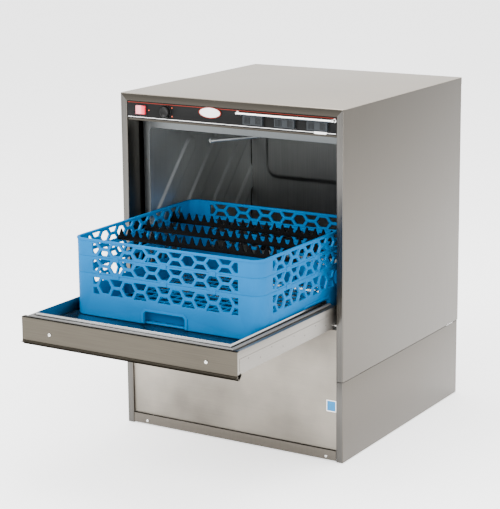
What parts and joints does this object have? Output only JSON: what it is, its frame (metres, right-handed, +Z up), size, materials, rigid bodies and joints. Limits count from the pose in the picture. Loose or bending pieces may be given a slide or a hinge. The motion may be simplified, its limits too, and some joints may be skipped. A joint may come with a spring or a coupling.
{
  "type": "commercial dishwasher",
  "caption": "Undercounter commercial dishwasher: stainless cabinet, drop-down door, wash chamber, spinning wash arms, rocker control panel and a blue open-mesh glass rack.",
  "frame": {"origin": "on the floor at the middle of the cabinet's footprint, on the underside of the base pan", "axes": "+Z up, -Y towards the front, where the door lies open, +X to the right of a person facing the front"},
  "size_m": [0.61, 1.0763, 0.832],
  "materials": {
    "stainless": "fine brushed grain",
    "chamber_stainless": "satin, darker inside",
    "polished_steel": "polished",
    "rack_blue": "satin moulded",
    "black_plastic": "fine texture",
    "black_rubber": "matt",
    "red_lens": "glossy, lit from inside",
    "badge_enamel": "glossy, blank",
    "label_film": "printed film, blank",
    "heater_sheath": "heat tinted"
  },
  "bodies": {
    "cabinet": {"top_cover": "stainless", "left_side_panel": "stainless", "right_side_panel": "stainless", "back_panel": "stainless", "base_left_skirt": "stainless", "base_right_skirt": "stainless", "base_left_rail": "stainless", "base_right_rail": "stainless", "base_pan": "stainless", "kick_panel": "stainless", "kick_rail": "stainless", "chamber_front_frame": "chamber_stainless", "chamber_left_wall": "chamber_stainless", "chamber_right_wall": "chamber_stainless", "chamber_rear_wall": "chamber_stainless", "chamber_ceiling": "chamber_stainless", "wash_tank": "chamber_stainless", "scrap_screen": "chamber_stainless", "rack_guide_left": "chamber_stainless", "rack_guide_right": "chamber_stainless", "rinse_tube": "polished_steel", "lower_arm_post": "chamber_stainless", "upper_arm_post": "chamber_stainless", "wash_manifold": "polished_steel", "wash_pump": "black_plastic", "drain_pump": "black_plastic", "booster_heater": "chamber_stainless", "control_box": "stainless", "tank_heater": "heater_sheath", "hinge_bracket_left": "stainless", "hinge_bracket_right": "stainless", "control_panel_tray": "stainless", "control_overlay": "black_plastic", "blank_badge": "badge_enamel", "switch_guard_bar": "polished_steel", "power_cord_gland": "black_plastic", "water_inlet_fitting": "polished_steel", "drain_outlet_fitting": "black_plastic"},
    "door": {"door_outer_shell": "stainless", "door_inner_liner": "stainless", "door_handle_strip": "stainless", "handle_strip_screw_left": "polished_steel", "handle_strip_screw_right": "polished_steel", "door_gasket": "black_rubber", "door_stiffener": "stainless"},
    "hinge_rod": {"hinge_rod": "polished_steel"},
    "rack": {"rack_base": "rack_blue", "rack_floor_grid": "rack_blue", "rack_extender_lower": "rack_blue", "rack_extender_upper": "rack_blue", "rack_comb_front": "black_plastic", "rack_comb_middle": "black_plastic", "rack_comb_rear": "black_plastic"},
    "lower_wash_arm": {"lower_wash_arm": "polished_steel"},
    "upper_wash_arm": {"upper_wash_arm": "polished_steel"},
    "power_rocker": {"power_rocker": "red_lens"},
    "prime_rocker": {"prime_rocker": "black_plastic"},
    "panel_rocker_left": {"panel_rocker_left": "black_plastic"},
    "panel_rocker_middle": {"panel_rocker_middle": "black_plastic"},
    "panel_rocker_right": {"panel_rocker_right": "black_plastic"}
  },
  "joints": [
    {"name": "door_swing", "type": "hinge", "parent": "cabinet", "child": "door", "pos_m": [0, -0.3105, 0.33], "axis": [-1, 0, 0], "range_deg": [0, 90]},
    {"name": "rack_carry", "type": "hinge", "parent": "cabinet", "child": "hinge_rod", "pos_m": [0, -0.3105, 0.33], "axis": [-1, 0, 0], "range_deg": [0, 180]},
    {"name": "rack_keep_level", "type": "hinge", "parent": "hinge_rod", "child": "rack", "pos_m": [0, -0.46525, 0.33], "axis": [-1, 0, 0], "range_deg": [-180, 0]},
    {"name": "lower_arm_spin", "type": "hinge", "parent": "cabinet", "child": "lower_wash_arm", "pos_m": [0, -0.009, 0.323], "axis": [0, 0, 1], "continuous": true},
    {"name": "upper_arm_spin", "type": "hinge", "parent": "cabinet", "child": "upper_wash_arm", "pos_m": [0, -0.009, 0.75], "axis": [0, 0, 1], "continuous": true},
    {"name": "power_rocker_tilt", "type": "hinge", "parent": "cabinet", "child": "power_rocker", "pos_m": [-0.2453, -0.3143, 0.7935], "axis": [0, 0, 1], "range_deg": [-6, 6]},
    {"name": "prime_rocker_tilt", "type": "hinge", "parent": "cabinet", "child": "prime_rocker", "pos_m": [-0.1752, -0.3143, 0.7932], "axis": [1, 0, 0], "range_deg": [-8, 8]},
    {"name": "panel_rocker_left_tilt", "type": "hinge", "parent": "cabinet", "child": "panel_rocker_left", "pos_m": [0.07, -0.3143, 0.7905], "axis": [0, 0, 1], "range_deg": [-4, 4]},
    {"name": "panel_rocker_middle_tilt", "type": "hinge", "parent": "cabinet", "child": "panel_rocker_middle", "pos_m": [0.1545, -0.3143, 0.7905], "axis": [0, 0, 1], "range_deg": [-4, 4]},
    {"name": "panel_rocker_right_tilt", "type": "hinge", "parent": "cabinet", "child": "panel_rocker_right", "pos_m": [0.2395, -0.3143, 0.7905], "axis": [0, 0, 1], "range_deg": [-4, 4], "stiffness_Nm_per_rad": 0.2}
  ],
  "couplings": [
    {"joint": "rack_carry", "follows": "door_swing", "ratio": 2},
    {"joint": "rack_keep_level", "follows": "door_swing", "ratio": -2}
  ]
}
